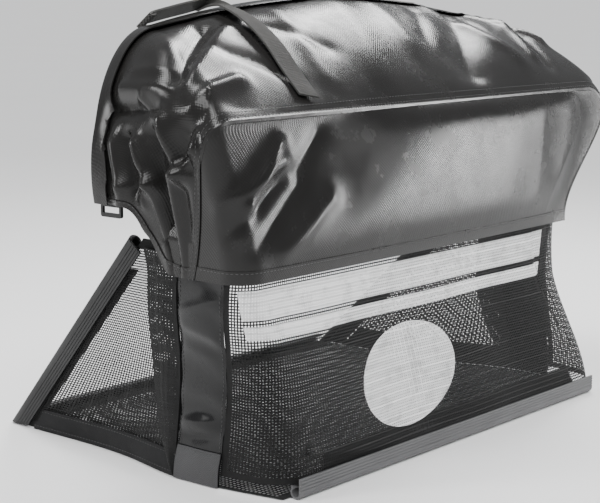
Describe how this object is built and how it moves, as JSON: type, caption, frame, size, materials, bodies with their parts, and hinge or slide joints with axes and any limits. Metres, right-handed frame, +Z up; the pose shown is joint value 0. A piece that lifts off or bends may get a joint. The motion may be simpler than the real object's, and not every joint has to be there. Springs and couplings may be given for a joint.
{
  "type": "mower grass collection bag",
  "caption": "Soft grass catcher bag with a net body, a coated cloth hood and skirt, plastic clip-on frame channels and a carry strap.",
  "frame": {"origin": "under the middle of the bag's box, on the ground", "axes": "+X along the rear wall to the right seen from behind, +Y towards the mower and the open mouth, +Z up"},
  "size_m": [0.6954, 0.4134, 0.4558],
  "materials": {
    "hood_cloth": "coated woven cloth with a soft gloss",
    "net": "open net of coated yarn",
    "strip_cloth": "glossy coated cloth",
    "patch_cloth": "coated cloth, matt",
    "tape": "woven edging tape",
    "webbing": "woven webbing",
    "channel_plastic": "extruded plastic, fine lengthwise grooves",
    "buckle_plastic": "moulded plastic"
  },
  "bodies": {
    "root": {"hood_cover": "hood_cloth", "hood_rear_panel": "hood_cloth", "hood_seam_tape": "hood_cloth", "hood_front_binding": "tape", "hood_tab_left": "webbing", "hood_tab_right": "webbing", "ladder_lock_left": "buckle_plastic", "ladder_lock_right": "buckle_plastic", "carry_strap": "webbing", "rear_mesh_panel": "net", "side_mesh_left": "net", "side_mesh_right": "net", "floor_mesh_panel": "net", "corner_strip_left": "strip_cloth", "corner_strip_right": "strip_cloth", "corner_patch_left": "patch_cloth", "corner_patch_right": "patch_cloth", "side_hem_band_left": "tape", "side_hem_band_right": "tape", "side_edge_tape_left": "tape", "side_edge_tape_right": "tape", "rear_edge_tape": "tape", "rear_channel": "channel_plastic", "side_channel_left": "channel_plastic", "side_channel_right": "channel_plastic", "floor_front_channel": "channel_plastic"}
  },
  "joints": []
}
